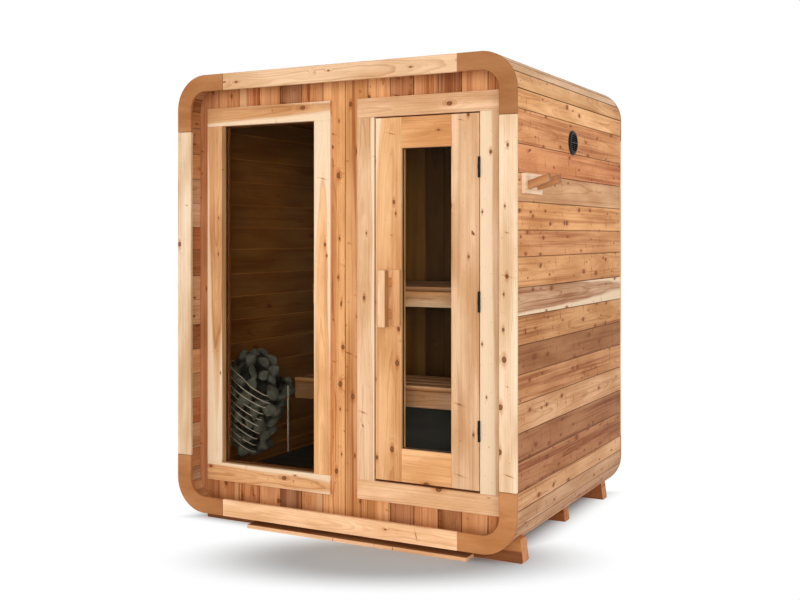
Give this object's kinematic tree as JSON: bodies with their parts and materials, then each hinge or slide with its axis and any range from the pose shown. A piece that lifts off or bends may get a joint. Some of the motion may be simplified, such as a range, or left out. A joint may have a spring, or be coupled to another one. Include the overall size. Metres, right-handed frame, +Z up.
{
  "type": "cabin sauna",
  "caption": "Outdoor cabin sauna: rounded hull of horizontal staves on cradles, board walls, tall fixed window, glazed swing door, side vent and coat rack.",
  "frame": {"origin": "on the ground, at the middle of the middle cradle's underside", "axes": "+X right as seen from the front, +Y from the front wall to the back, +Z up"},
  "size_m": [2.1312, 1.712, 2.424],
  "materials": {
    "hull_cedar": "oiled satin",
    "wall_cedar": "oiled satin",
    "ring_cedar": "oiled satin",
    "corner_cedar": "oiled satin",
    "trim_cedar": "oiled satin",
    "door_cedar": "oiled satin",
    "cradle_cedar": "rough sawn",
    "bench_cedar": "planed matt",
    "deck": "matt dark mat",
    "pane": "clear double pane",
    "black_metal": "satin black",
    "steel": "brushed",
    "stone": "rough grey stone"
  },
  "bodies": {
    "cabin": {"floor": "hull_cedar", "roof": "hull_cedar", "left_wall": "hull_cedar", "right_wall": "hull_cedar", "upper_corners": "hull_cedar", "lower_corners": "hull_cedar", "front_ring_boards": "ring_cedar", "front_ring_corners": "corner_cedar", "back_ring_boards": "ring_cedar", "back_ring_corners": "corner_cedar", "front_wall_left": "wall_cedar", "front_wall_over_window": "wall_cedar", "front_wall_under_window": "wall_cedar", "front_wall_middle": "wall_cedar", "front_wall_over_door": "wall_cedar", "front_wall_under_door": "wall_cedar", "front_wall_right": "wall_cedar", "back_wall": "wall_cedar", "window_trim_rails": "trim_cedar", "window_trim_sides": "trim_cedar", "window_lining": "trim_cedar", "window_glass": "pane", "door_trim_rails": "trim_cedar", "door_trim_sides": "trim_cedar", "door_jamb": "trim_cedar", "jamb_hinges": "black_metal", "vent_grille": "black_metal", "coat_rack_board": "trim_cedar", "coat_rack_pegs": "corner_cedar", "cradle_front": "cradle_cedar", "cradle_middle": "cradle_cedar", "cradle_back": "cradle_cedar", "front_plank": "trim_cedar", "floor_deck": "deck", "floor_joists": "cradle_cedar", "upper_bench": "bench_cedar", "lower_bench": "bench_cedar", "bench_aprons": "bench_cedar", "bench_bearers": "bench_cedar", "kick_board": "deck", "heater_stones": "stone", "heater_plate": "steel", "heater_rod": "steel"},
    "door": {"door_stile_left": "door_cedar", "door_stile_right": "door_cedar", "door_rail_top": "door_cedar", "door_rail_bottom": "door_cedar", "door_glass": "pane", "door_handle": "door_cedar", "door_hinges": "black_metal"}
  },
  "joints": [
    {"name": "door_swing", "type": "hinge", "parent": "cabin", "child": "door", "pos_m": [0.756, -0.811, 0], "axis": [0, 0, 1], "range_deg": [0, 115]}
  ]
}
